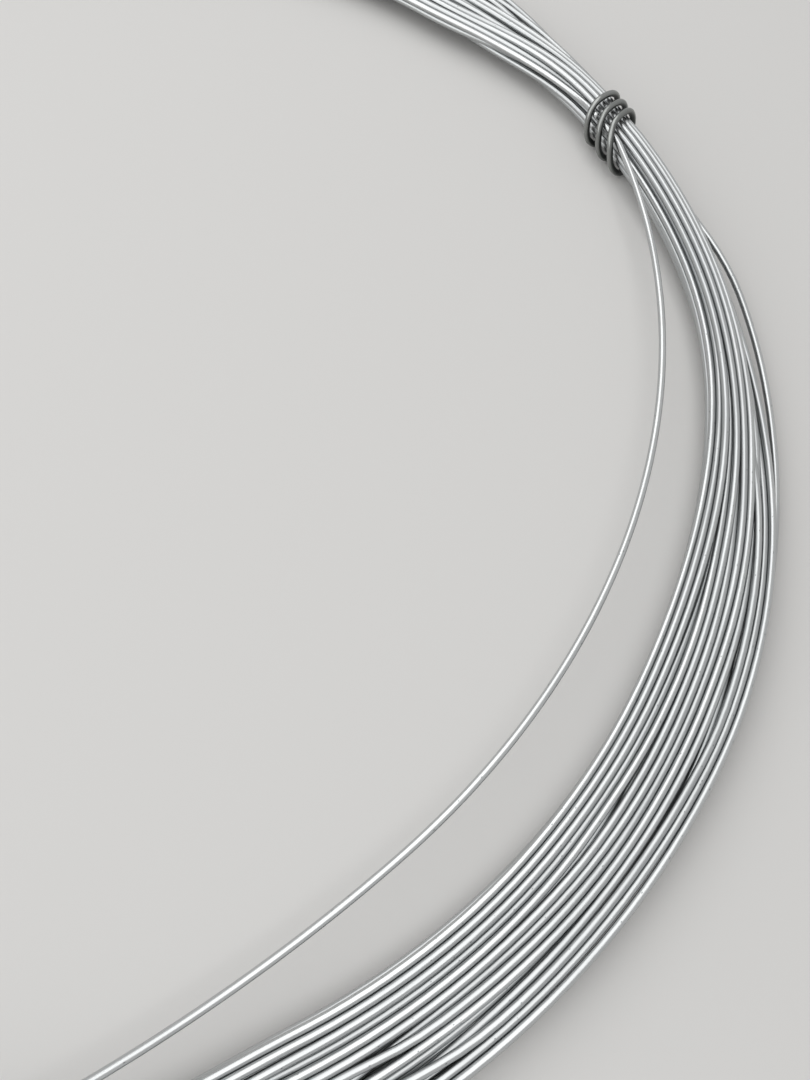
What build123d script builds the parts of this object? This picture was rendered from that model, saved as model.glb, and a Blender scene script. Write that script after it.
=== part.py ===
"""Coil of galvanized steel wire, tied by hand in three places.

Twenty-eight turns of plain round wire lie in one bundle. Under each tie the bundle is pulled
into a tight round waist, where only its outer turns show. Past a tie the turns stay together
for a while and then spring apart into a flat fan of two layers, in which the inner turns come
up between the outer ones. The fan is drawn in again just before the next tie. One turn has
sprung inwards: it runs across the eye in a flatter arc from the first tie round to the last,
and is trapped under the wraps of both. Each tie is a few wraps of the same wire, close together
on the outer side and wider apart towards the eye, with a cut end.

Sizes are millimetres. +Z is up, the origin is on the coil's axis at the floor, and +X points
at the first tie. The coil lies flat and stands on the wraps of its ties.
"""

import os
from cmath import rect
from math import atan, cos, degrees, pi, radians, sin, sqrt

from build123d import *

# Wire and coil
wire_diameter = 3.25
wire_sides = 8
coil_mean_diameter = 620.0

# Bundle: its round waist under a tie, its flat fan, and how far round the coil each lasts
waist_diameter = 18.4
waist_run = 17.0
opening_run = 44.0
closing_run = 22.0
fan_width = 44.0
fan_height = 7.0
waist_backs = 14
buried_share = 0.1
groove_lift = 0.4
bands_per_span = 14

# Ties, evenly spaced round the coil
tie_count = 3
tie_wraps = 3
crown_angle = 50.0
crown_pitch = 6.9
pitch_growth = 4.5
wrap_corners = 14
tie_stub = 9.0

# The turn that has sprung inwards: a bend at each end and two arcs between them
sprung_seat_groove = 5
sprung_end_in_tie = 4.0
sprung_bend_radius = 20.0
sprung_first_bend = 15.0
sprung_first_arc = 65.0
sprung_last_bend = 25.0

# Air between two wires that lie on each other
seat_clearance = 0.3

wire_radius = wire_diameter / 2
coil_radius = coil_mean_diameter / 2
waist_radius = waist_diameter / 2
waist_centre_radius = waist_radius - wire_radius
tie_spacing = 360.0 / tie_count

# The sprung turn lies in the groove between two backs of the waist.
half_groove = waist_centre_radius * sin(pi / waist_backs)
seat_height = sqrt((wire_diameter + seat_clearance) ** 2 - half_groove**2)
sprung_seat = waist_centre_radius * cos(pi / waist_backs) + seat_height
seat_angle = 2 * pi * (sprung_seat_groove + 0.5) / waist_backs
seat_outwards = cos(seat_angle)
seat_upwards = sin(seat_angle)

# A tie is wound round a circle that holds both the waist and the sprung turn.
held_radius = (waist_radius + sprung_seat + wire_radius) / 2
held_shift = held_radius - waist_radius
wrap_radius = held_radius + seat_clearance + wire_radius
corner_radius = wrap_radius / cos(pi / wrap_corners)

# The lowest wraps stand on the floor.
bundle_height = wrap_radius + wire_radius - held_shift * seat_upwards


def along_the_tie(turned):
    """How far along the bundle a tie's wire has come once it has turned this far round it.

    It starts on the side of the eye and goes under the bundle. Its pitch is least at the crown,
    on the outer side of the top, and grows towards the side opposite.
    """
    off_crown = (1 + cos(turned - radians(crown_angle))) / 2
    return turned / (2 * pi) * (crown_pitch + pitch_growth * off_crown)


# The bundle is straight as far as the wraps reach, and so is the sprung turn under them.
tie_turned = 2 * pi * tie_wraps
tie_length = along_the_tie(tie_turned)
half_tie_angle = degrees(atan(tie_length / 2 / coil_radius))
tie_radius = coil_radius * cos(radians(half_tie_angle))
fanned_angle = tie_spacing - 2 * half_tie_angle
seat_run = along_the_tie(tie_turned + seat_angle - pi) - tie_length / 2


def round_the_coil(angle, radius):
    """Plane across the bundle at this angle: x outwards, y up, its origin in the bundle."""
    outwards = Vector(cos(radians(angle)), sin(radians(angle)), 0)
    onwards = Vector(sin(radians(angle)), -cos(radians(angle)), 0)
    centre = outwards * radius + Vector(0, 0, bundle_height)
    return Plane(origin=centre, x_dir=outwards, z_dir=onwards)


def on_the_bundle(share, run, radius, sideways, lift):
    """Point at a place on a slot of two half circles and two runs.

    The place is this share of the way round from the slot's outermost point, over the top.
    The point lies sideways of it, straight along the slot, and stands off the slot by lift.
    """
    quarter = pi * radius / 2
    along = (share % 1.0) * (4 * quarter + 4 * run)
    if along <= quarter:
        centre, turned = run, along / radius
    elif along <= quarter + 2 * run:
        centre, turned = run - (along - quarter), pi / 2
    elif along <= 3 * quarter + 2 * run:
        centre, turned = -run, (along - 2 * run) / radius
    elif along <= 3 * quarter + 4 * run:
        centre, turned = -run + (along - 3 * quarter - 2 * run), 3 * pi / 2
    else:
        centre, turned = run, (along - 4 * run) / radius
    outwards = centre + (radius + lift) * cos(turned) - sideways * sin(turned)
    return Vector(outwards, (radius + lift) * sin(turned) + sideways * cos(turned))


def bundle_section(plane, opened):
    """Outline of the bundle when it has opened by this share, from waist to fan.

    Going round, an outer turn shows its back as the top sides of its wire, and then the turn
    below it comes up out of the groove the further the bundle has opened.
    """
    width = waist_diameter + (fan_width - waist_diameter) * opened
    height = waist_diameter + (fan_height - waist_diameter) * opened
    radius = height / 2 - wire_radius
    run = (width - height) / 2
    pitch = (2 * pi * radius + 4 * run) / waist_backs
    shown = buried_share + (1 - buried_share) * opened
    corners = []
    for corner in range(1, wire_sides // 2):
        turned = pi - 2 * pi * corner / wire_sides
        corners.append((wire_radius * cos(turned), wire_radius * sin(turned)))
    wire_edge = corners[-1][0]
    groove = (pitch / 2 + wire_edge * (1 - shown)) / 2
    outline = []
    for back in range(waist_backs):
        places = [(back, sideways, lift) for sideways, lift in corners]
        places.append((back + groove / pitch, 0, groove_lift))
        for sideways, lift in corners:
            risen = groove_lift + (lift - groove_lift) * shown
            places.append((back + 0.5, sideways * shown, risen))
        places.append((back + 1 - groove / pitch, 0, groove_lift))
        for place, sideways, lift in places:
            outline.append(on_the_bundle(place / waist_backs, run, radius, sideways, lift))
    with BuildSketch(plane) as section:
        with BuildLine():
            Polyline(outline, close=True)
        make_face()
    return section.sketch


def ease(share):
    """Smooth step from 0 to 1 as share goes from 0 to 1."""
    return sin(pi / 2 * min(max(share, 0.0), 1.0)) ** 2


def span_sections(start):
    """Sections of a straight waist under one tie and of the fan that follows it."""
    sections = [bundle_section(round_the_coil(start + half_tie_angle, coil_radius), 0)]
    for band in range(bands_per_span + 1):
        past = half_tie_angle + fanned_angle * band / bands_per_span
        left = fanned_angle * (1 - band / bands_per_span)
        opened = ease((past - waist_run) / opening_run) * ease(left / closing_run)
        sections.append(bundle_section(round_the_coil(start - past, coil_radius), opened))
    return sections


def wrap_corner(corner):
    """Corner of a tie's wraps, with x outwards, y up and z along the bundle."""
    turned = 2 * pi * corner / wrap_corners
    onwards = along_the_tie(turned) - tie_length / 2
    return Vector(-corner_radius * cos(turned), -corner_radius * sin(turned), onwards)


def arc_way(heading, turned, radius=1.0):
    """Way made by an arc that sets off in this heading and turns clockwise, as x + yj."""
    return radius * rect(1, heading) * (1 - rect(1, -turned)) / 1j


def cross_product(one, other):
    """Cross product of two ways."""
    return (one.conjugate() * other).imag


os.makedirs("parts", exist_ok=True)

# The bundle of turns, one ring with its eye
with BuildPart() as wire_coil:
    for tie_number in range(tie_count):
        loft(sections=span_sections(tie_spacing * tie_number), ruled=True)
wire_coil.part.label = "wire_coil"
export_step(wire_coil.part, "parts/wire_coil.step")

# The ties, each a few wraps in short straight runs with the cut end turned down
with BuildLine() as wraps:
    Polyline(
        [wrap_corner(corner) for corner in range(tie_wraps * wrap_corners + 1)]
        + [wrap_corner(tie_wraps * wrap_corners) - Vector(0, tie_stub, 0)]
    )
for tie_number in range(tie_count):
    waist = round_the_coil(tie_spacing * tie_number, tie_radius)
    held_centre = waist.from_local_coords(
        Vector(held_shift * seat_outwards, held_shift * seat_upwards, 0)
    )
    tie_place = Plane(origin=held_centre, x_dir=waist.x_dir, z_dir=waist.z_dir).location
    tie_path = Wire(wraps.line.moved(tie_place).edges())
    with BuildPart() as tie:
        with BuildSketch(Plane(origin=tie_path @ 0, z_dir=tie_path % 0)):
            RegularPolygon(wire_radius, wire_sides)
        sweep(path=tie_path, transition=Transition.RIGHT)
    tie.part.label = f"tie_{tie_number + 1}"
    export_step(tie.part, f"parts/tie_{tie_number + 1}.step")

# The sprung turn: it runs clockwise from its seat under the first tie to that under the last.
seat_radius = tie_radius + sprung_seat * seat_outwards
sprung_last_arc = tie_spacing - sprung_first_bend - sprung_first_arc - sprung_last_bend

# Its two arcs get the radii that bring it from the one seat to the other.
first_heading = -pi / 2 - radians(sprung_first_bend)
last_heading = first_heading - radians(sprung_first_arc)
bend_heading = last_heading - radians(sprung_last_arc)
seated_heading = bend_heading - radians(sprung_last_bend)
first_way = arc_way(first_heading, radians(sprung_first_arc))
last_way = arc_way(last_heading, radians(sprung_last_arc))
arcs_way = (
    rect(seat_radius, -radians(tie_spacing))
    - rect(seat_run, seated_heading)
    - arc_way(bend_heading, radians(sprung_last_bend), sprung_bend_radius)
    - arc_way(-pi / 2, radians(sprung_first_bend), sprung_bend_radius)
    - rect(seat_run, -pi / 2)
    - seat_radius
)
spread = cross_product(first_way, last_way)
first_radius = cross_product(arcs_way, last_way) / spread
last_radius = cross_product(first_way, arcs_way) / spread

with BuildPart() as sprung_turn:
    with BuildLine(Plane.XY.offset(bundle_height + sprung_seat * seat_upwards)) as sprung_path:
        seat = Line((seat_radius, sprung_end_in_tie), (seat_radius, -seat_run))
        bend = JernArc(seat @ 1, seat % 1, sprung_bend_radius, -sprung_first_bend)
        first_arc = JernArc(bend @ 1, bend % 1, first_radius, -sprung_first_arc)
        last_arc = JernArc(first_arc @ 1, first_arc % 1, last_radius, -sprung_last_arc)
        last_bend = JernArc(last_arc @ 1, last_arc % 1, sprung_bend_radius, -sprung_last_bend)
        Line(last_bend @ 1, last_bend @ 1 + (last_bend % 1) * (seat_run + sprung_end_in_tie))
    with BuildSketch(Plane(origin=sprung_path.line @ 0, z_dir=sprung_path.line % 0)):
        RegularPolygon(wire_radius, wire_sides)
    sweep()
sprung_turn.part.label = "sprung_turn"
export_step(sprung_turn.part, "parts/sprung_turn.step")
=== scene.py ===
"""Coil of galvanized wire, dressed for the view of the photograph.

The turns of the bundle are one continuous wire. Its places across the bundle are found by
pushing overlapping turns apart, station by station, inside a bundle that is round under the
ties and flat between them. A length of the turn that has sprung inwards lies in the bundle
with the others over the last third of the way round. All sizes are metres in the row's own
frame: +Z up, the coil's axis at the origin, +X towards the first tie, and the turns running
clockwise seen from above.
"""

import logging
from dataclasses import dataclass
from enum import Enum
from math import atan, cos, pi, radians, sin, sqrt
from typing import Optional

import bpy
import numpy as np
from mathutils import Matrix, Vector


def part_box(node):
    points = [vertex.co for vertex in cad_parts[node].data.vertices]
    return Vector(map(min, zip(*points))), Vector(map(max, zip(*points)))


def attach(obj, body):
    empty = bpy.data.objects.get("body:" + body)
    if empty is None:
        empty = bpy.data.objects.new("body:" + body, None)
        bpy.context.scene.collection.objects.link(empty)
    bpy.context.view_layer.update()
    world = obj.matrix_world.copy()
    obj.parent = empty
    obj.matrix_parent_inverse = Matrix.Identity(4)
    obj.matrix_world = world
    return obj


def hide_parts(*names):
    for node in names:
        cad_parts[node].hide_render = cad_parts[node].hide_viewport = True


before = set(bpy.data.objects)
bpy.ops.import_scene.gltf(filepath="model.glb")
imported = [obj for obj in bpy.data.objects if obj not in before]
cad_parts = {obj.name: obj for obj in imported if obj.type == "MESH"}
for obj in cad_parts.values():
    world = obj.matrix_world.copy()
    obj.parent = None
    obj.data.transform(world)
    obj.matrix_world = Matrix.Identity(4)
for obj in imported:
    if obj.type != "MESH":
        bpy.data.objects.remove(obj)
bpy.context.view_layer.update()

MM = 0.001
ROOT = "root"
LOG = logging.getLogger("wire_coil")

# Sizes that the CAD model is driven by
WIRE_DIAMETER = 3.25 * MM
COIL_RADIUS = 310.0 * MM
WAIST_RADIUS = 9.2 * MM
WAIST_RUN = radians(17.0)
OPENING_RUN = radians(44.0)
CLOSING_RUN = radians(22.0)
FAN_HALF_WIDTH = 22.0 * MM
FAN_HALF_HEIGHT = 3.5 * MM
BACKS_AT_WAIST = 14
TIE_COUNT = 3
WRAPS = 3
CROWN_ANGLE = radians(50.0)
CROWN_PITCH = 6.9 * MM
PITCH_GROWTH = 4.5 * MM
SEAT_CLEARANCE = 0.3 * MM
SEAT_ANGLE = 2 * pi * 5.5 / BACKS_AT_WAIST
SPRUNG_BEND_RADIUS = 20.0 * MM
SPRUNG_FIRST_BEND = radians(15.0)
SPRUNG_FIRST_ARC = radians(65.0)
SPRUNG_LAST_BEND = radians(25.0)
SPRUNG_END_IN_TIE = 4.0 * MM


def along_the_tie(turned: np.ndarray) -> np.ndarray:
    """How far along the bundle a tie's wire has come once it has turned this far round it.

    The share of a turn times a pitch that is least at the crown and grows by the half of one
    plus the cosine of the angle past it.

    Args:
        turned: angles in radians, from the eye's side under the bundle.

    Returns:
        The ways along the bundle.
    """
    off_crown = (1 + np.cos(turned - CROWN_ANGLE)) / 2
    return turned / (2 * pi) * (CROWN_PITCH + PITCH_GROWTH * off_crown)


# Sizes that follow from them, as they do in the CAD model
WIRE_RADIUS = WIRE_DIAMETER / 2
WAIST_CENTRE_RADIUS = WAIST_RADIUS - WIRE_RADIUS
TIE_SPACING = 2 * pi / TIE_COUNT
TIE_TURNED = 2 * pi * WRAPS
TIE_LENGTH = float(along_the_tie(TIE_TURNED))
HALF_TIE_ANGLE = atan(TIE_LENGTH / 2 / COIL_RADIUS)
TIE_RADIUS = COIL_RADIUS * cos(HALF_TIE_ANGLE)
SPRUNG_SEAT = WAIST_CENTRE_RADIUS * cos(pi / BACKS_AT_WAIST) + sqrt(
    (WIRE_DIAMETER + SEAT_CLEARANCE) ** 2 - (WAIST_CENTRE_RADIUS * sin(pi / BACKS_AT_WAIST)) ** 2
)
SEAT_RUN = float(along_the_tie(TIE_TURNED + SEAT_ANGLE - pi)) - TIE_LENGTH / 2
SEATED_OUTWARDS = SPRUNG_SEAT * cos(SEAT_ANGLE)
SEATED_UPWARDS = SPRUNG_SEAT * sin(SEAT_ANGLE)
HELD_SHIFT = (SPRUNG_SEAT + WIRE_RADIUS - WAIST_RADIUS) / 2
BUNDLE_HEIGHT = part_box("tie_1")[1][2] / 2 - HELD_SHIFT * sin(SEAT_ANGLE)
SPRUNG_LAST_ARC = TIE_SPACING - SPRUNG_FIRST_BEND - SPRUNG_FIRST_ARC - SPRUNG_LAST_BEND

# The waist's radius when its twenty-seven round wires are packed as tightly as they go
PACKED_RADIUS = 9.6 * MM

# Share of the darker colour laid as painted shade on the flanks of the coil's wires, where they
# turn away from the top
FLANK_SHADE = 0.6

# Keeps a distance that is divided by off nought
TINY = 1e-9


def ring_radius(turned: np.ndarray) -> np.ndarray:
    """Distance of the bundle's middle from the coil's axis.

    The bundle is straight under a tie, so there the tie's radius is divided by the cosine of
    the angle from the tie's middle. It follows the coil's circle elsewhere.

    Args:
        turned: angles past the first tie, in radians.

    Returns:
        The distances.
    """
    off = (turned + TIE_SPACING / 2) % TIE_SPACING - TIE_SPACING / 2
    return np.where(np.abs(off) < HALF_TIE_ANGLE, TIE_RADIUS / np.cos(off), COIL_RADIUS)


def ease(share: np.ndarray) -> np.ndarray:
    """Smooth step from 0 to 1: the squared sine of a quarter turn."""
    return np.sin(pi / 2 * np.clip(share, 0, 1)) ** 2


def turned_away(sides: int, top: float) -> np.ndarray:
    """How far each side of a wire has turned away from its top.

    It is one minus the cosine of the angle between them, kept between nought and one.

    Args:
        sides: how many sides the wire has.
        top: angle of its top round the wire.

    Returns:
        The share of each side, from 0 to 1.
    """
    return np.clip(1 - np.cos(np.linspace(0, 2 * pi, sides, endpoint=False) - top), 0, 1)


def linear(hex_colour: str) -> tuple[float, float, float, float]:
    """Turn an sRGB hex colour into linear light.

    Args:
        hex_colour: six hex digits, with or without a leading hash.

    Returns:
        Red, green, blue and an alpha of one, all linear.
    """
    digits = hex_colour.lstrip("#")
    channels = [int(digits[place:place + 2], 16) / 255 for place in (0, 2, 4)]
    lit = [c / 12.92 if c <= 0.04045 else ((c + 0.055) / 1.055) ** 2.4 for c in channels]
    return (lit[0], lit[1], lit[2], 1.0)


def add_node(tree: bpy.types.NodeTree, kind: str, settings: Optional[dict] = None,
             inputs: Optional[dict] = None) -> bpy.types.Node:
    """Add one node, set its properties and sockets, and link what is given as a socket.

    Args:
        tree: the node tree that gets the node.
        kind: the node's type name.
        settings: node properties by name.
        inputs: socket values by name or number. An output socket is linked, the rest are set.

    Returns:
        The new node.
    """
    node = tree.nodes.new(kind)
    for name, value in (settings or {}).items():
        setattr(node, name, value)
    for name, value in (inputs or {}).items():
        if isinstance(value, bpy.types.NodeSocket):
            tree.links.new(value, node.inputs[name])
        else:
            node.inputs[name].default_value = value
    return node


class Slot(Enum):
    """Names of the record's material slots for the coil's wire and the tie wire."""

    COIL = "galvanized_wire"
    TIE = "tie_wire"


@dataclass(frozen=True)
class ZincCoat:
    """Galvanized steel wire: low-carbon steel, drawn, hot-dipped in zinc and wiped.

    The wiped zinc is a light, faintly blue-grey metal with a soft sheen, streaked along the
    wire by the wiping, with small dark flux specks. A darker, rougher coat is laid where the
    turns hem each other in, as grime and painted shade, and on their flanks, as painted
    shade. A pattern's size is given along the wire first, and then both ways across it.
    """

    name: str
    bright: str
    dull: str
    film_and_shade: str
    speck: str
    gloss: float
    film_and_shade_share: float
    streak_size: tuple[float, float, float] = (40.0 * MM, 0.9 * MM, 0.9 * MM)
    cloud_size: tuple[float, float, float] = (60.0 * MM, 4.0 * MM, 4.0 * MM)
    speck_size: tuple[float, float, float] = (5.0 * MM, 2.4 * MM, 2.4 * MM)
    cloud_from: float = 0.42
    cloud_to: float = 0.68
    streak_gain: float = 0.9
    streak_offset: float = -0.2
    speck_edge: float = 0.10
    speck_core: float = 0.05
    dull_roughness: float = 0.16
    film_and_shade_roughness: float = 0.25

    def build(self) -> bpy.types.Material:
        """Make the material.

        Returns:
            The finished material.
        """
        material = bpy.data.materials.new(self.name)
        material.use_nodes = True
        tree = material.node_tree
        tree.nodes.clear()
        place, grime_and_shade, tint = (
            add_node(tree, "ShaderNodeAttribute", {"attribute_name": name})
            for name in ("wire_place", "grime_and_shade", "turn_tint"))
        streak_place, cloud_place, speck_place = (
            add_node(tree, "ShaderNodeVectorMath", {"operation": "MULTIPLY"},
                     {0: place.outputs["Vector"], 1: [1 / side for side in size]}).outputs[0]
            for size in (self.streak_size, self.cloud_size, self.speck_size))

        # Streaks that the wiping leaves, drawn nearly a millimetre wide so that they show
        streaks = add_node(tree, "ShaderNodeTexNoise", {},
                           {"Vector": streak_place, "Scale": 1.0, "Detail": 3.0, "Roughness": 0.6})
        # Cloudy patches of duller zinc, a few centimetres long
        clouds = add_node(tree, "ShaderNodeTexNoise", {},
                          {"Vector": cloud_place, "Scale": 1.0, "Detail": 2.0})
        # Grains of flux, one in each few millimetres, drawn up to a millimetre long to show
        specks = add_node(tree, "ShaderNodeTexVoronoi", {"feature": "F1"},
                          {"Vector": speck_place, "Scale": 1.0})

        # The zinc dulls in the cloudy patches, along the streaks, and turn by turn
        cloudy = add_node(tree, "ShaderNodeMapRange", {"clamp": True},
                          {"Value": clouds.outputs["Fac"], "From Min": self.cloud_from,
                           "From Max": self.cloud_to})
        streaked = add_node(tree, "ShaderNodeMath",
                            {"operation": "MULTIPLY_ADD", "use_clamp": True},
                            {0: streaks.outputs["Fac"], 1: self.streak_gain,
                             2: self.streak_offset})
        dulled = add_node(tree, "ShaderNodeMath", {"operation": "MULTIPLY"},
                          {0: cloudy.outputs["Result"], 1: streaked.outputs[0]})
        toned = add_node(tree, "ShaderNodeMath", {"operation": "ADD", "use_clamp": True},
                         {0: dulled.outputs[0], 1: tint.outputs["Fac"]})
        # Share of the darker coat: grime and painted shade between the turns, painted shade on the
        # flanks
        filmed_and_shaded = add_node(tree, "ShaderNodeMath", {"operation": "MULTIPLY", "use_clamp": True},
                          {0: grime_and_shade.outputs["Fac"], 1: self.film_and_shade_share})
        specked = add_node(tree, "ShaderNodeMapRange", {"clamp": True},
                           {"Value": specks.outputs["Distance"], "From Min": self.speck_edge,
                            "From Max": self.speck_core})

        # Each share mixes one more colour over the bright zinc
        colour = linear(self.bright)
        for share, layer in ((toned.outputs[0], self.dull), (filmed_and_shaded.outputs[0], self.film_and_shade),
                             (specked.outputs["Result"], self.speck)):
            mixed = add_node(tree, "ShaderNodeMix", {"data_type": "RGBA"},
                             {"Factor": share, 6: colour, 7: linear(layer)})
            colour = mixed.outputs[2]

        rough = add_node(tree, "ShaderNodeMapRange", {},
                         {"Value": toned.outputs[0], "To Min": self.gloss,
                          "To Max": self.gloss + self.dull_roughness})
        rougher = add_node(tree, "ShaderNodeMath",
                           {"operation": "MULTIPLY_ADD", "use_clamp": True},
                           {0: filmed_and_shaded.outputs[0], 1: self.film_and_shade_roughness,
                            2: rough.outputs["Result"]})

        # The streaks stand a few microns proud, drawn deeper so that they catch the light, and
        # the clouds are shallow waves in the zinc
        grain = add_node(tree, "ShaderNodeBump", {},
                         {"Height": streaks.outputs["Fac"], "Strength": 0.35,
                          "Distance": 0.12 * MM})
        waves = add_node(tree, "ShaderNodeBump", {},
                         {"Height": clouds.outputs["Fac"], "Strength": 0.5, "Distance": 0.4 * MM,
                          "Normal": grain.outputs["Normal"]})
        shader = add_node(tree, "ShaderNodeBsdfPrincipled", {},
                          {"Base Color": colour, "Metallic": 1.0,
                           "Roughness": rougher.outputs[0], "Normal": waves.outputs["Normal"]})
        add_node(tree, "ShaderNodeOutputMaterial", {}, {"Surface": shader.outputs["BSDF"]})
        return material


@dataclass
class Tube:
    """Lengths of round wire, each carried along a path of points.

    A point of the surface at angle a round a path point is the path point, plus the radius
    times cos a along the side axis, plus the radius times sin a along the third axis.
    """

    name: str
    paths: list[np.ndarray]
    side_axes: list[np.ndarray]
    radius: float = WIRE_RADIUS
    sides: int = 12

    def surface(self, path: np.ndarray, side_axes: np.ndarray) -> np.ndarray:
        """Points of one length's surface.

        Args:
            path: the points that the wire follows.
            side_axes: a direction off to the side at each point.

        Returns:
            Path points by sides by three.
        """
        along = np.gradient(path, axis=0)
        along /= np.linalg.norm(along, axis=1, keepdims=True)
        side = side_axes - (side_axes * along).sum(1, keepdims=True) * along
        side /= np.linalg.norm(side, axis=1, keepdims=True)
        third = np.cross(along, side)
        angles = np.linspace(0, 2 * pi, self.sides, endpoint=False)
        sideways = np.cos(angles)[None, :, None] * side[:, None]
        ring = sideways + np.sin(angles)[None, :, None] * third[:, None]
        return path[:, None] + ring * self.radius

    def skin(self, first: int, count: int) -> list[list[int]]:
        """Faces of one length, with a flat cut at both ends.

        Args:
            first: number of its first point.
            count: how many path points it has.

        Returns:
            The faces, the two cuts last.
        """
        row = first + np.arange(count - 1)[:, None] * self.sides
        here, there = row + np.arange(self.sides), row + (np.arange(self.sides) + 1) % self.sides
        quads = np.stack([here, there, there + self.sides, here + self.sides], -1)
        last = first + (count - 1) * self.sides
        cuts = [list(range(first, first + self.sides))[::-1], list(range(last, last + self.sides))]
        return quads.reshape(-1, 4).tolist() + cuts

    def wire_places(self, path: np.ndarray) -> np.ndarray:
        """Place of each surface point in the straightened wire: along it and across it.

        Args:
            path: the points that the wire follows.

        Returns:
            Path points times sides by three.
        """
        steps = np.linalg.norm(np.diff(path, axis=0), axis=1)
        length = np.concatenate([[0.0], np.cumsum(steps)])
        angles = np.linspace(0, 2 * pi, self.sides, endpoint=False)
        return np.stack([np.repeat(length, self.sides),
                         np.tile(np.cos(angles), len(path)) * self.radius,
                         np.tile(np.sin(angles), len(path)) * self.radius], 1)

    def build(self, grime_and_shade: np.ndarray,
              tint: Optional[np.ndarray] = None) -> bpy.types.Object:
        """Make the mesh object.

        Args:
            grime_and_shade: share of grime and painted shade at each surface point, all path
                points by sides.
            tint: how dull the zinc is at each path point.

        Returns:
            The object, linked into the scene.
        """
        counts = [len(path) for path in self.paths]
        points = np.concatenate([self.surface(*pair) for pair in zip(self.paths, self.side_axes)])
        starts = np.cumsum([0] + counts[:-1]) * self.sides
        skins = [self.skin(int(start), count) for start, count in zip(starts, counts)]
        smooth = np.concatenate([np.arange(len(skin)) < len(skin) - 2 for skin in skins])
        mesh = bpy.data.meshes.new(self.name)
        mesh.from_pydata(points.reshape(-1, 3).tolist(), [], sum(skins, []))
        mesh.polygons.foreach_set("use_smooth", smooth)
        places = np.concatenate([self.wire_places(path) for path in self.paths])
        tints = np.repeat(np.zeros(sum(counts)) if tint is None else tint, self.sides)
        for name, kind, field, values in (("wire_place", "FLOAT_VECTOR", "vector", places),
                                          ("grime_and_shade", "FLOAT", "value", grime_and_shade),
                                          ("turn_tint", "FLOAT", "value", tints)):
            attribute = mesh.attributes.new(name, kind, "POINT")
            attribute.data.foreach_set(field, values.ravel())
        mesh.update()
        piece = bpy.data.objects.new(self.name, mesh)
        bpy.context.scene.collection.objects.link(piece)
        return piece


def dress(piece: bpy.types.Object, finish: bpy.types.Material, node: str) -> None:
    """Give a piece its finish, hang it under the root body, and hide the CAD node that it stands
    for.

    Args:
        piece: the finished mesh object.
        finish: its material.
        node: the CAD node that the piece replaces.
    """
    piece.data.materials.append(finish)
    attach(piece, ROOT)
    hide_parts(node)
    LOG.info("%s: %d faces, stands for %s", piece.name, len(piece.data.polygons), node)


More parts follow.
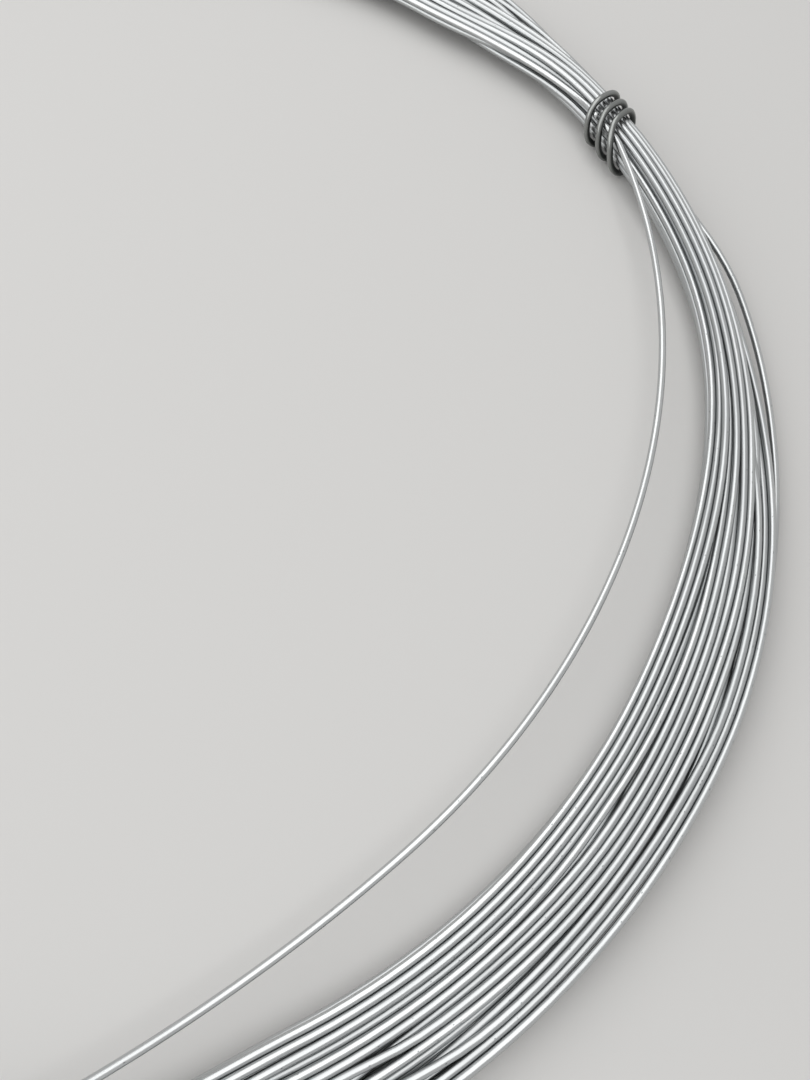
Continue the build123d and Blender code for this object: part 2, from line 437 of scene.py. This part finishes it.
@dataclass
class SprungTurn:
    """The turn that has sprung inwards, from its seat at the first tie to that at the next."""

    step: float = 4.0 * MM
    fine_steps: int = 20
    sides: int = 16
    seat_radius: float = TIE_RADIUS + SEATED_OUTWARDS
    height: float = BUNDLE_HEIGHT + SEATED_UPWARDS

    def arc_radii(self) -> tuple[float, float]:
        """Radii of its two arcs that bring it from one seat to the other.

        A way is the heading turned over an arc of unit radius. What the runs and bends leave
        of the way between the seats is split along the two arcs' ways by cross products.

        Returns:
            The radius of the first arc and of the second.
        """
        def way(heading: float, turned: float) -> complex:
            """Way over an arc of unit radius that turns clockwise, as x + yj."""
            return np.exp(1j * heading) * (1 - np.exp(-1j * turned)) / 1j

        first_heading = -pi / 2 - SPRUNG_FIRST_BEND
        last_heading = first_heading - SPRUNG_FIRST_ARC
        bend_heading = last_heading - SPRUNG_LAST_ARC
        first = way(first_heading, SPRUNG_FIRST_ARC)
        last = way(last_heading, SPRUNG_LAST_ARC)
        bends = way(-pi / 2, SPRUNG_FIRST_BEND) + way(bend_heading, SPRUNG_LAST_BEND)
        seated_heading = bend_heading - SPRUNG_LAST_BEND
        left = (self.seat_radius * (np.exp(-1j * TIE_SPACING) - 1) - SPRUNG_BEND_RADIUS * bends
                - SEAT_RUN * (np.exp(-1j * pi / 2) + np.exp(1j * seated_heading)))
        spread = (first.conjugate() * last).imag
        return (left.conjugate() * last).imag / spread, (first.conjugate() * left).imag / spread

    def path(self) -> np.ndarray:
        """Points of its middle line, worked out from its curvature piece by piece.

        Its heading is the running sum of its curvature, and its place the running sum of
        the heading's cosine and sine.

        Returns:
            Points by three.
        """
        first_radius, last_radius = self.arc_radii()
        turned = np.array([0.0, SPRUNG_FIRST_BEND, SPRUNG_FIRST_ARC,
                           SPRUNG_LAST_ARC, SPRUNG_LAST_BEND, 0.0])
        radii = np.array([1.0, SPRUNG_BEND_RADIUS, first_radius,
                          last_radius, SPRUNG_BEND_RADIUS, 1.0])
        lengths = turned * radii
        lengths[[0, -1]] = SEAT_RUN + SPRUNG_END_IN_TIE
        ends = np.cumsum(lengths)
        curvature = np.where(turned > 0, 1 / radii, 0.0)
        count = int(ends[-1] / self.step) * self.fine_steps
        step = ends[-1] / count
        middles = (np.arange(count) + 0.5) * step
        bending = curvature[np.searchsorted(ends, middles).clip(0, len(ends) - 1)]
        heading = -pi / 2 - (np.cumsum(bending) - bending / 2) * step
        x = np.concatenate([[0.0], np.cumsum(np.cos(heading) * step)])[::self.fine_steps]
        y = np.concatenate([[0.0], np.cumsum(np.sin(heading) * step)])[::self.fine_steps]
        height = np.full_like(x, self.height)
        return np.stack([x + self.seat_radius, y + SPRUNG_END_IN_TIE, height], 1)

    def places(self, turned: np.ndarray) -> np.ndarray:
        """Its places across the bundle at these angles past the first tie.

        Past its end its place stays free as far as the third tie, and over the last third of
        the way round it is given its place in the seat.

        Args:
            turned: angles in radians, rising.

        Returns:
            Angles by two: outwards and up from the bundle's middle.
        """
        path = self.path()
        passed = np.unwrap(-np.arctan2(path[:, 1], path[:, 0]))
        radius = np.interp(turned, passed, np.hypot(path[:, 0], path[:, 1]))
        away = radius - ring_radius(turned)
        outwards = np.where(turned <= 2 * TIE_SPACING, away, SEATED_OUTWARDS)
        return np.stack([outwards, np.full_like(outwards, self.height - BUNDLE_HEIGHT)], 1)

    def build(self, finish: bpy.types.Material) -> bpy.types.Object:
        """Make the turn.

        Args:
            finish: the wire's material.

        Returns:
            The finished piece.
        """
        path = self.path()
        up = np.tile([0.0, 0.0, 1.0], (len(path), 1))
        tube = Tube("sprung_turn_wire", [path], [up], sides=self.sides)
        # Painted shade on the turn's flanks and underside, where it turns away from its top
        piece = tube.build(np.tile(FLANK_SHADE * turned_away(tube.sides, 0.0), len(path)))
        dress(piece, finish, "sprung_turn")
        return piece


@dataclass(frozen=True)
class StrayTurn:
    """A stretch of a turn that stands off the others sideways.

    The turn is the one that lies furthest that way, counting its height down by the share
    that is given.
    """

    start: float
    rise: float
    end: float
    fall: float
    reach: float
    height_share: float

    def moved(self, at: np.ndarray, turned: np.ndarray) -> np.ndarray:
        """Move the turn by the reach, eased in over the rise and out over the fall.

        Args:
            at: stations by turns by two.
            turned: the stations' angles past the first tie.

        Returns:
            The places with that turn moved.
        """
        bulge = ease((turned - self.start) / self.rise) * ease((self.end - turned) / self.fall)
        there = at[int(np.argmax(turned > self.start + self.rise / 2))]
        turn = int(np.argmax(there[:, 0] * np.sign(self.reach) - self.height_share * there[:, 1]))
        moved = at.copy()
        moved[:, turn, 0] += self.reach * bulge
        return moved


@dataclass
class WireBundle:
    """The turns of the coil, as one continuous wire, and the sprung turn's way back in.

    The shares push, pull and smoothing say how far a round of the relaxing goes. The drift of
    the turns is made of waves, counted by turn, which weaken with their number.
    """

    sprung: SprungTurn
    turns: int = 27
    stations: int = 240
    seed: int = 7
    rounds: int = 260
    push: float = 0.38
    pull: float = 0.5
    smoothing: float = 0.45
    drift_waves: tuple[float, ...] = (0.43, 0.77, 1.31, 2.17, 3.3, 4.9, 7.3)
    drift_weakening: float = 0.8
    drift_phase: float = 6 * pi
    turns_per_phase: int = 4
    crowded_within: float = 0.9
    most_tint: float = 0.35
    tints_per_turn: int = 3
    waist_columns: tuple[int, ...] = (3, 5, 6, 6, 5, 3)
    upper_layer: int = 14
    lean: float = 0.01 * MM
    fan_stagger: float = 0.6 * MM
    fan_wander: float = 2.0 * MM
    fan_lift: float = 0.8 * MM
    fan_play: float = 0.3 * MM
    strays: tuple[StrayTurn, ...] = (
        StrayTurn(radians(5.0), radians(16.0), radians(56.0), radians(36.0), 9.5 * MM, 0.5),
        StrayTurn(radians(24.0), radians(16.0), radians(66.0), radians(20.0), -1.4 * MM, 0.0),
    )

    def turned(self) -> np.ndarray:
        """Angle of each station past the first tie."""
        return np.arange(self.stations) * 2 * pi / self.stations

    def moved_on(self) -> np.ndarray:
        """Share of the way to the next turn's place, eased from the second tie to the third."""
        return ease(self.turned() / TIE_SPACING - 1)

    def openness(self) -> np.ndarray:
        """How far the bundle has opened at each station, from 0 under a tie to 1.

        Returns:
            The opening, eased over its run from where the waist ends, times the closing,
            eased over its run back from the next tie's edge.
        """
        past = self.turned() % TIE_SPACING
        opening = ease((past - WAIST_RUN) / OPENING_RUN)
        return opening * ease((TIE_SPACING - HALF_TIE_ANGLE - past) / CLOSING_RUN)

    def half_sizes(self) -> np.ndarray:
        """Half width and half height of the space for the wires' middles at each station.

        Returns:
            Stations by two.
        """
        opened = self.openness()[:, None]
        waist = np.array([PACKED_RADIUS, PACKED_RADIUS])
        fan = np.array([FAN_HALF_WIDTH, FAN_HALF_HEIGHT + self.fan_play])
        return waist + (fan - waist) * opened - WIRE_RADIUS

    def places_in_waist(self) -> np.ndarray:
        """Places stacked in columns, down one and up the next, so each lies beside the last.

        Returns:
            One more place than there are turns, by two.
        """
        places = []
        for number, count in enumerate(self.waist_columns):
            heights = (np.arange(count) - (count - 1) / 2) * WIRE_DIAMETER
            across = (number - (len(self.waist_columns) - 1) / 2) * WIRE_DIAMETER * sin(pi / 3)
            places.append(np.stack([np.full(count, across), heights[::-(-1) ** number]], 1))
        return np.concatenate(places)

    def places_in_fan(self, waist: np.ndarray) -> np.ndarray:
        """Places in the two layers of the fan that each wire slides to from the waist.

        The highest of the waist's wires go to the upper layer, as many as it holds, and the
        rest to the lower. Of two at one height, a lean outwards or inwards picks one. Within a
        layer the order is that of their angle round the bundle's middle, so that the inner
        ones come up between the outer ones and none crosses another.

        Args:
            waist: the places in the waist.

        Returns:
            The places in the fan, in the same order.
        """
        leaning = np.sign(waist[:, 0]) * (np.arange(len(waist)) % 2 - 0.5) * self.lean
        unrolled = -np.arctan2(np.abs(waist[:, 1]), waist[:, 0])
        level = np.argsort(waist[:, 1] + leaning, kind="stable")
        lower = len(waist) - self.upper_layer
        places = np.zeros_like(waist)
        for layer, group in ((-1, level[:lower]), (1, level[lower:])):
            group = group[np.argsort(unrolled[group], kind="stable")]
            reach = FAN_HALF_WIDTH - (2 - layer) / 2 * WIRE_DIAMETER / 2
            stagger = self.fan_stagger * (np.arange(len(group)) % 2 - 0.5)
            places[group, 0] = np.linspace(-1, 1, len(group)) * reach
            places[group, 1] = layer * WIRE_RADIUS + stagger
        return places

    def wander(self, rng: np.random.Generator) -> np.ndarray:
        """Slow drift of each turn off its place, as sines whose phases drift along the wire.

        Args:
            rng: the source of the random phases.

        Returns:
            Stations by turns by two, of about unit size.
        """
        lengths = self.turns + 1
        along = np.arange(self.stations * lengths) / self.stations
        knots = np.linspace(0, lengths, lengths // self.turns_per_phase)
        drift = np.zeros((len(along), 2))
        for waves in self.drift_waves:
            for axis in (0, 1):
                phase = np.interp(along, knots, rng.uniform(0, self.drift_phase, len(knots)))
                wave = np.sin(2 * pi * waves * along + phase)
                drift[:, axis] += wave / waves**self.drift_weakening
        return drift.reshape(lengths, self.stations, 2).transpose(1, 0, 2) / 2

    def smoothed(self, offsets: np.ndarray) -> np.ndarray:
        """Draw each offset towards the mean of its two neighbours along the wire.

        The turns are one chain, and the sprung turn is a ring of its own.

        Args:
            offsets: stations by turns and the sprung turn by two.

        Returns:
            The smoothed offsets.
        """
        chain = offsets[:, :-1].transpose(1, 0, 2).reshape(-1, 2).copy()
        chain[1:-1] += self.smoothing * ((chain[:-2] + chain[2:]) / 2 - chain[1:-1])
        ring = offsets[:, -1]
        beside = (np.roll(ring, 1, 0) + np.roll(ring, -1, 0)) / 2
        ring = ring + self.smoothing * (beside - ring)
        turns = chain.reshape(self.turns, self.stations, 2).transpose(1, 0, 2)
        return np.concatenate([turns, ring[:, None]], 1)

    def relaxed(self, rng: np.random.Generator) -> np.ndarray:
        """Places of all turns at all stations, once overlapping wires have moved apart.

        Each round pushes overlapping wires apart, brings those outside the bundle back in,
        and smooths what that has moved along the wire. Some stay pressed into each other a
        little. The sprung turn stays where it is as far as the third tie's wraps reach, and
        past them it is one of the others.

        Args:
            rng: the source of the random drift.

        Returns:
            Stations by turns and the sprung turn by two, outwards and up from the middle.
        """
        waist = self.places_in_waist()
        fan = self.places_in_fan(waist)
        moved = self.moved_on()[:, None, None]
        opened = self.openness()[:, None, None]
        half = self.half_sizes()
        own = np.append(np.arange(self.turns), 0)
        onward = np.append(np.arange(self.turns) + 1, 0)
        in_waist = waist[own] * (1 - moved) + waist[onward] * moved
        in_fan = fan[own] * (1 - moved) + fan[onward] * moved
        target = in_waist + (in_fan - in_waist) * opened
        spread = np.array([self.fan_wander, self.fan_lift]) * self.openness()[:, None]
        target = target + self.wander(rng) * spread[:, None]
        sprung_places = self.sprung.places(self.turned())
        past_third = self.turned() > 2 * TIE_SPACING + HALF_TIE_ANGLE
        rejoined = past_third & (self.turned() < 2 * pi - HALF_TIE_ANGLE)
        held = np.zeros((self.stations, self.turns + 1, 1), dtype=bool)
        held[~rejoined, -1] = True
        fixed = np.where(held, sprung_places[:, None], 0.0)
        at = np.where(held, fixed, target)
        run = (half[:, 0] - half[:, 1])[:, None]
        same = np.eye(self.turns + 1, dtype=bool)
        for _ in range(self.rounds):
            apart = at[:, :, None] - at[:, None]
            distance = np.sqrt((apart**2).sum(-1)) + TINY
            # No wire pushes itself: a metre is out of reach
            distance[:, same] = 1.0
            overlap = np.clip(WIRE_DIAMETER - distance, 0, None) / distance
            at = at + self.push * (overlap[..., None] * apart).sum(2)
            core = np.stack([np.clip(at[..., 0], -run, run), np.zeros_like(at[..., 0])], -1)
            out = at - core
            reach = np.sqrt((out**2).sum(-1)) + TINY
            beyond = np.clip(reach - half[:, 1:], 0, None) / reach
            at = at - self.pull * out * beyond[..., None]
            at = np.where(held, fixed, target + self.smoothed(at - target))
        return at

    def grime_and_shade(self, at: np.ndarray, sides: int) -> np.ndarray:
        """Share of grime and painted shade on each side of each wire.

        A neighbour adds grime and painted shade by the squared cosine of its angle from the
        side, and less the further off it is, down to nothing at the air that crowded_within gives
        in wires. Painted shade from the ground counts more the further a side has turned down
        from the top, until it looks level outwards.

        Args:
            at: stations by wires by two.
            sides: how many sides the wire has.

        Returns:
            Wires by stations by sides, from 0 to 1.
        """
        apart = at[:, None] - at[:, :, None]
        distance = np.sqrt((apart**2).sum(-1)) + TINY
        air_left = 1 + self.crowded_within - distance / WIRE_DIAMETER
        near = np.clip(air_left, 0, self.crowded_within) / self.crowded_within
        near[:, np.eye(at.shape[1], dtype=bool)] = 0.0
        towards = apart / distance[..., None]
        grime_and_shade_sides = np.zeros((*at.shape[:2], sides))
        # Grime and painted shade from the neighbours that hem each side in
        for side, angle in enumerate(np.linspace(0, 2 * pi, sides, endpoint=False)):
            facing = np.clip(towards[..., 0] * cos(angle) + towards[..., 1] * sin(angle), 0, 1)
            grime_and_shade_sides[..., side] = (near * facing**2).sum(-1)
        # Painted shade on the flanks and underside, where the wire turns away from the top
        grime_and_shade_sides += FLANK_SHADE * turned_away(sides, pi / 2)
        return np.clip(grime_and_shade_sides.transpose(1, 0, 2), 0, 1)

    def path(self, places: np.ndarray, turned: np.ndarray) -> tuple[np.ndarray, np.ndarray]:
        """Turn places across the bundle into points in space.

        Args:
            places: path points by two, outwards and up from the bundle's middle.
            turned: angle of each past the first tie.

        Returns:
            The points and the outward directions, path points by three each.
        """
        outwards = np.stack([np.cos(-turned), np.sin(-turned), np.zeros_like(turned)], 1)
        points = outwards * (ring_radius(turned) + places[:, 0])[:, None]
        points[:, 2] = BUNDLE_HEIGHT + places[:, 1]
        return points, outwards

    def build(self, finish: bpy.types.Material) -> bpy.types.Object:
        """Make the turns, and the sprung turn's length between the third tie and the first.

        Args:
            finish: the wire's material.

        Returns:
            The finished piece.
        """
        rng = np.random.default_rng(self.seed)
        at = self.relaxed(rng)
        for stray in self.strays:
            at = stray.moved(at, self.turned())
        chain = at[:, :-1].transpose(1, 0, 2).reshape(-1, 2)
        turned = np.arange(len(chain)) * 2 * pi / self.stations
        points, outwards = self.path(chain, turned)

        # The length in the bundle starts under the third tie's wraps and butts against the
        # sprung turn's end under the first
        end = atan(SPRUNG_END_IN_TIE / self.sprung.seat_radius)
        first, last = 2 * TIE_SPACING + end, 2 * pi - end
        back = np.flatnonzero((self.turned() > first) & (self.turned() < last))
        seat = np.array([[SEATED_OUTWARDS, SEATED_UPWARDS]])
        back_places = np.concatenate([seat, at[back, -1], seat])
        back_turned = np.concatenate([[first], self.turned()[back], [last]])
        back_points, back_outwards = self.path(back_places, back_turned)

        tube = Tube("wire_turns", [points, back_points], [outwards, back_outwards])
        # Grime and painted shade for every side of every wire
        grime_and_shade_sides = self.grime_and_shade(at, tube.sides)
        back_grime_and_shade = grime_and_shade_sides[-1][np.concatenate([back[:1], back, back[-1:]])]
        knots = rng.uniform(0.0, self.most_tint, self.turns * self.tints_per_turn)
        tint = np.interp(turned / (2 * pi), np.linspace(0, self.turns, len(knots)), knots)
        piece = tube.build(np.concatenate([grime_and_shade_sides[:-1].reshape(-1, tube.sides), back_grime_and_shade]),
                           np.concatenate([tint, np.zeros(len(back_points))]))
        dress(piece, finish, "wire_coil")
        return piece


@dataclass
class HandTie:
    """A few wraps of wire round the bundle, wound by hand, with both ends tucked in under it.

    Known fault: the ties are numbered clockwise here and anticlockwise in the CAD model, so
    the second and third stand for each other's nodes, and the sprung turn ends under wraps
    that aren't wound round it.
    """

    number: int
    traps_sprung_turn: bool
    points_per_wrap: int = 48
    slack: float = 0.1 * MM
    blend: float = 1.0 * MM
    stiffness: float = 0.5
    tucked_start: float = radians(75.0)
    tucked_end: float = radians(80.0)
    angle_step: float = 1e-3

    def reach(self, angle: np.ndarray) -> np.ndarray:
        """Distance of the taut wrap's tangent line from the bundle's centre.

        A limp wrap reaches as far as the waist's radius or the sprung turn, whichever is
        more, eased where one takes over from the other. A stiff one goes round the circle
        that holds both. The real one is between the two by its stiffness, and the wire's
        radius is added. It grows downwards until the wrap stands on the floor.

        Args:
            angle: direction across the bundle, from outwards through up.

        Returns:
            The distance for each direction.
        """
        waist = np.full_like(angle, PACKED_RADIUS)
        sprung = SPRUNG_SEAT * np.cos(angle - SEAT_ANGLE) + WIRE_RADIUS
        if not self.traps_sprung_turn:
            sprung = waist - WIRE_DIAMETER
        limp = self.blend * np.log(1 + np.exp((sprung - waist) / self.blend)) + waist
        spare = max(float(sprung.max() - PACKED_RADIUS), 0.0) / 2
        stiff = waist + spare * (1 + np.cos(angle - SEAT_ANGLE))
        held = limp + (stiff - limp) * self.stiffness
        lowest = PACKED_RADIUS + self.stiffness * spare * (1 - sin(SEAT_ANGLE))
        sag = BUNDLE_HEIGHT - WIRE_DIAMETER - lowest - self.slack
        return held + self.slack + WIRE_RADIUS + sag * (1 - np.sin(angle)) / 2

    def build(self, finish: bpy.types.Material) -> bpy.types.Object:
        """Make the wraps.

        A taut wrap is the envelope of its tangent lines: their distance along the direction,
        plus the change of that distance along the square direction.

        Args:
            finish: the tie wire's material.

        Returns:
            The finished piece.
        """
        turned = np.linspace(self.tucked_start, TIE_TURNED + self.tucked_end,
                             WRAPS * self.points_per_wrap + 1)
        angle = pi + turned
        step = self.angle_step
        reach = self.reach(angle)
        change = (self.reach(angle + step) - self.reach(angle - step)) / (2 * step)
        outwards = reach * np.cos(angle) - change * np.sin(angle)
        upwards = reach * np.sin(angle) + change * np.cos(angle)
        onwards = along_the_tie(turned) - TIE_LENGTH / 2
        place = TIE_SPACING * (self.number - 1)
        out_axis = np.array([cos(-place), sin(-place), 0.0])
        on_axis = np.array([sin(-place), -cos(-place), 0.0])
        up_axis = np.array([0.0, 0.0, 1.0])
        path = ((TIE_RADIUS + outwards)[:, None] * out_axis + onwards[:, None] * on_axis
                + (BUNDLE_HEIGHT + upwards)[:, None] * up_axis)
        tube = Tube(f"tie_wraps_{self.number}", [path], [np.tile(on_axis, (len(path), 1))])
        # Painted shade on the sides of each wrap and on its underside against the bundle
        piece = tube.build(np.tile(turned_away(tube.sides, pi / 2), len(path)))
        dress(piece, finish, f"tie_{self.number}")
        return piece


@dataclass(frozen=True)
class SoftBox:
    """One soft box: its size, its place before the camera's turn, and its power."""

    name: str
    size: tuple[float, float]
    place: tuple[float, float, float]
    power: float

    def hang(self, turn: Matrix) -> None:
        """Hang it in the scene, aimed at the middle of the coil.

        Args:
            turn: the turn of the photographer's stand round the coil's axis.
        """
        lamp = bpy.data.lights.new(self.name, "AREA")
        lamp.shape = "RECTANGLE"
        lamp.size, lamp.size_y = self.size
        lamp.energy = self.power
        box = bpy.data.objects.new(self.name, lamp)
        place = Vector(self.place)
        aim = place.to_track_quat("Z", "Y").to_matrix().to_4x4()
        box.matrix_world = turn @ Matrix.Translation(place) @ aim
        bpy.context.scene.collection.objects.link(box)


@dataclass
class Studio:
    """Pale floor, two soft boxes in a pale room, and the camera of the photograph."""

    floor_side: float = 12.0
    floor_colour: str = "#DBDAD8"
    floor_roughness: float = 0.95
    room_light: float = 0.38
    room_seen: float = 0.62
    softboxes: tuple[SoftBox, ...] = (
        SoftBox("softbox_over", (1.5, 4.4), (-0.3, 0.5, 2.0), 26.0),
        SoftBox("softbox_left", (3.0, 3.0), (-1.8, -1.15, 1.7), 36.0),
    )
    camera_turn: float = radians(-40.0)
    camera_place: tuple[float, float, float] = (0.1703, -0.1932, 0.3269)
    camera_pitch: float = radians(22.64)
    camera_roll: float = radians(10.78)
    lens_mm: float = 28.33
    sensor_mm: float = 36.0
    nearest: float = 10.0 * MM

    def floor(self) -> None:
        """Lay the plain floor that the coil lies on."""
        half = self.floor_side / 2
        mesh = bpy.data.meshes.new("floor")
        mesh.from_pydata([(-half, -half, 0), (half, -half, 0), (half, half, 0), (-half, half, 0)],
                         [], [(0, 1, 2, 3)])
        floor = bpy.data.objects.new("floor", mesh)
        bpy.context.scene.collection.objects.link(floor)
        material = bpy.data.materials.new("matte_paper")
        material.use_nodes = True
        tree = material.node_tree
        tree.nodes.clear()
        shader = add_node(tree, "ShaderNodeBsdfPrincipled", {},
                          {"Base Color": linear(self.floor_colour),
                           "Roughness": self.floor_roughness})
        add_node(tree, "ShaderNodeOutputMaterial", {}, {"Surface": shader.outputs["BSDF"]})
        mesh.materials.append(material)

    def light(self) -> None:
        """Hang the soft boxes in a plain pale room.

        The camera, and whatever the metal mirrors, sees the room's walls at one pale level.
        The light that the room adds to the floor and the coil has a level of its own.
        """
        for box in self.softboxes:
            box.hang(Matrix.Rotation(self.camera_turn, 4, "Z"))
        world = bpy.data.worlds.new("room")
        world.use_nodes = True
        tree = world.node_tree
        tree.nodes.clear()
        rays = add_node(tree, "ShaderNodeLightPath")
        mirrored = add_node(tree, "ShaderNodeMath", {"operation": "MAXIMUM"},
                            {0: rays.outputs["Is Glossy Ray"],
                             1: rays.outputs["Is Transmission Ray"]})
        seen = add_node(tree, "ShaderNodeMath", {"operation": "MAXIMUM"},
                        {0: rays.outputs["Is Camera Ray"], 1: mirrored.outputs[0]})
        level = add_node(tree, "ShaderNodeMapRange", {},
                         {"Value": seen.outputs[0], "To Min": self.room_light,
                          "To Max": self.room_seen})
        glow = add_node(tree, "ShaderNodeBackground", {},
                        {"Color": (1.0, 1.0, 1.0, 1.0), "Strength": level.outputs["Result"]})
        add_node(tree, "ShaderNodeOutputWorld", {}, {"Surface": glow.outputs["Background"]})
        bpy.context.scene.world = world

    def camera(self) -> None:
        """Stand where the photographer stood, looking down across the eye at the first tie."""
        lens = bpy.data.cameras.new("photo_camera")
        lens.lens = self.lens_mm
        lens.sensor_width = self.sensor_mm
        lens.clip_start = self.nearest
        camera = bpy.data.objects.new("photo_camera", lens)
        turn = Matrix.Rotation(self.camera_turn, 4, "Z")
        stand = Matrix.Translation(self.camera_place) @ Matrix.Rotation(self.camera_pitch, 4, "X")
        lift = Matrix.Translation((0.0, 0.0, BUNDLE_HEIGHT))
        camera.matrix_world = lift @ turn @ stand @ Matrix.Rotation(self.camera_roll, 4, "Z")
        bpy.context.scene.collection.objects.link(camera)
        bpy.context.scene.camera = camera

    def build(self) -> None:
        """Set up the floor, the light and the camera."""
        self.floor()
        self.light()
        self.camera()
        bpy.context.scene.view_settings.view_transform = "Standard"


def main() -> None:
    """Build the coil, its sprung turn and its ties, and the studio round them."""
    logging.basicConfig(level=logging.INFO, format="%(name)s: %(message)s")
    # The darker coat on the coil's wires is grime and painted shade between the turns, and painted
    # shade on their flanks
    coil_zinc = ZincCoat("hot_dip_zinc", bright="#D0D2D2", dull="#B0B3B4", film_and_shade="#64686A",
                         speck="#808384", gloss=0.22, film_and_shade_share=0.38).build()
    # The ties' zinc is darker and duller than the coil's, and a near-black coat lays painted shade
    # on the sides of the wraps
    tie_zinc = ZincCoat("tie_zinc_and_shade", bright="#9C9E9C", dull="#6A6C6A", film_and_shade="#262827",
                        speck="#444645", gloss=0.20, film_and_shade_share=0.80).build()
    Studio().build()
    sprung = SprungTurn()
    WireBundle(sprung).build(coil_zinc)
    sprung.build(coil_zinc)
    for number in range(1, TIE_COUNT + 1):
        HandTie(number, number in (1, TIE_COUNT)).build(tie_zinc)


if __name__ == "__main__":
    main()
